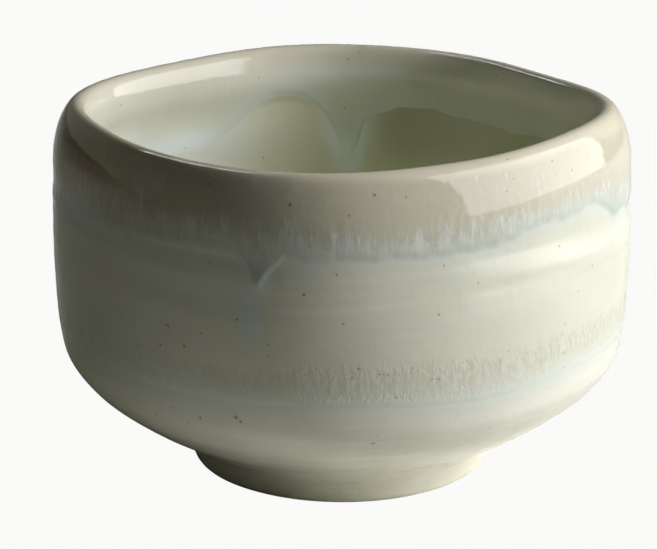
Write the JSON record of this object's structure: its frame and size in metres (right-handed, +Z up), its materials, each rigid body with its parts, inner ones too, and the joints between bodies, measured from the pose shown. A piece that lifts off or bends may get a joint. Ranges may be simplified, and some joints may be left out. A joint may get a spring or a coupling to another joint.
{
  "type": "matcha bowl",
  "caption": "Wheel-thrown stoneware tea bowl with a softly squared, slightly inturned mouth, a deep round interior and a low ring foot, under overlapping cream and beige glaze coats.",
  "frame": {"origin": "on the table plane, under the middle of the bowl's bounding box", "axes": "+Z up, with the foot standing on z = 0; +X along the widest way across the softly squared mouth; the long glaze run faces -Y"},
  "size_m": [0.1222, 0.1192, 0.0781],
  "materials": {
    "stoneware_body": "bare fired stoneware, buff brown, dry and slightly gritty, with turning marks under the bowl",
    "stoneware_foot": "bare fired stoneware, toasted brown at the wiped contact edge",
    "liner_glaze": "glossy translucent grey-green glaze with a soft blue-white bloom below the rim coat",
    "base_glaze": "smooth satin-gloss cream glaze with a faint pink warmth and iron specks",
    "body_glaze": "glossy cream-tan glaze with throwing lines, iron specks and a streaked lower edge",
    "rim_glaze": "glossy beige glaze breaking into fine vertical streaks, with a pale blue flowing edge"
  },
  "bodies": {
    "root": {"clay_body": "stoneware_body", "foot_ring": "stoneware_foot", "inner_glaze": "liner_glaze", "base_glaze": "base_glaze", "body_glaze": "body_glaze", "rim_glaze": "rim_glaze"}
  },
  "joints": []
}
